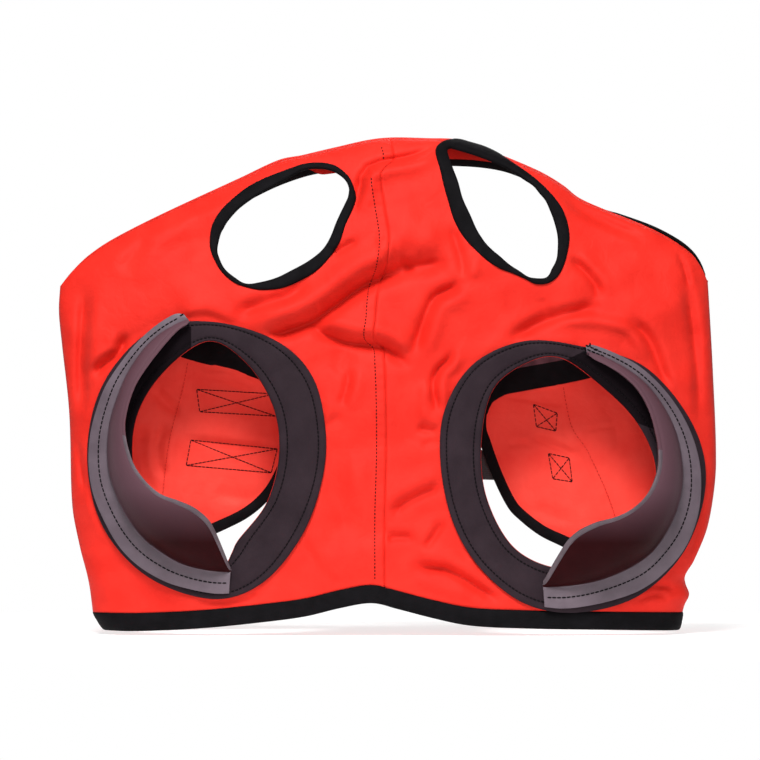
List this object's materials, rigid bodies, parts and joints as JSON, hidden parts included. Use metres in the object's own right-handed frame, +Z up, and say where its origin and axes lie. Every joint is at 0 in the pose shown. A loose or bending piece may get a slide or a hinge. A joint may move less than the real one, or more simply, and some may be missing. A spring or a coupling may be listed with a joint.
{
  "type": "racehorse blinker hood",
  "caption": "Stretch hood for a horse with ear openings, ringed eye openings, moulded half cups and throat flaps closed by hook-and-loop straps.",
  "frame": {"origin": "the poll seat: the fold of the crown on the centre seam, where the hood bears on the poll of the horse", "axes": "+Z up to the poll and -Z to the nose, -Y out of the face side with the cups, +X to the right seen from the front"},
  "size_m": [0.44, 0.1139, 0.3296],
  "materials": {
    "red_fabric": "matt, fine four-way stretch knit",
    "black_binding": "matt folded stretch tape",
    "black_ring": "matt suede-like leathercloth",
    "grey_cup": "moulded leathercloth with a dull sheen",
    "black_thread": "matt polyester thread",
    "black_strap": "matt woven web",
    "black_patch": "hook-and-loop tape"
  },
  "bodies": {
    "hood": {"left_front_panel": "red_fabric", "right_front_panel": "red_fabric", "crown_band": "red_fabric", "centre_seam_stitching": "black_thread", "left_ear_binding": "black_binding", "right_ear_binding": "black_binding", "left_eye_ring": "black_ring", "right_eye_ring": "black_ring", "left_ring_stitching": "black_thread", "right_ring_stitching": "black_thread", "left_blinker_cup": "grey_cup", "right_blinker_cup": "grey_cup", "left_cup_stitching": "black_thread", "right_cup_stitching": "black_thread", "nose_binding": "black_binding", "neck_binding": "black_binding", "left_shoulder_binding": "black_binding", "right_shoulder_binding": "black_binding"},
    "left_flap": {"left_side_panel": "red_fabric", "left_throat_flap": "red_fabric", "left_flap_binding": "black_binding", "upper_loop_patch": "black_patch", "lower_loop_patch": "black_patch", "left_box_stitching": "black_thread"},
    "right_flap": {"right_side_panel": "red_fabric", "right_throat_flap": "red_fabric", "right_flap_binding": "black_binding", "right_box_stitching": "black_thread", "upper_strap_anchor": "black_strap", "lower_strap_anchor": "black_strap"},
    "upper_strap": {"upper_strap": "black_strap", "upper_hook_patch": "black_patch"},
    "lower_strap": {"lower_strap": "black_strap", "lower_hook_patch": "black_patch"}
  },
  "joints": [
    {"name": "right_flap_swing", "type": "hinge", "parent": "hood", "child": "right_flap", "pos_m": [0.188, 0.0193, -0.2], "axis": [0, 0, -1], "range_deg": [0, 90]},
    {"name": "left_flap_swing", "type": "hinge", "parent": "hood", "child": "left_flap", "pos_m": [-0.18, 0.0193, -0.2], "axis": [0, 0, 1], "range_deg": [0, 90]},
    {"name": "upper_strap_peel", "type": "hinge", "parent": "right_flap", "child": "upper_strap", "pos_m": [0.104, 0.0324, -0.186], "axis": [0, 0, -1], "range_deg": [0, 150]},
    {"name": "lower_strap_peel", "type": "hinge", "parent": "right_flap", "child": "lower_strap", "pos_m": [0.113, 0.0319, -0.219], "axis": [0, 0, -1], "range_deg": [0, 150]}
  ],
  "couplings": [
    {"joint": "left_flap_swing", "follows": "right_flap_swing", "ratio": 1}
  ]
}
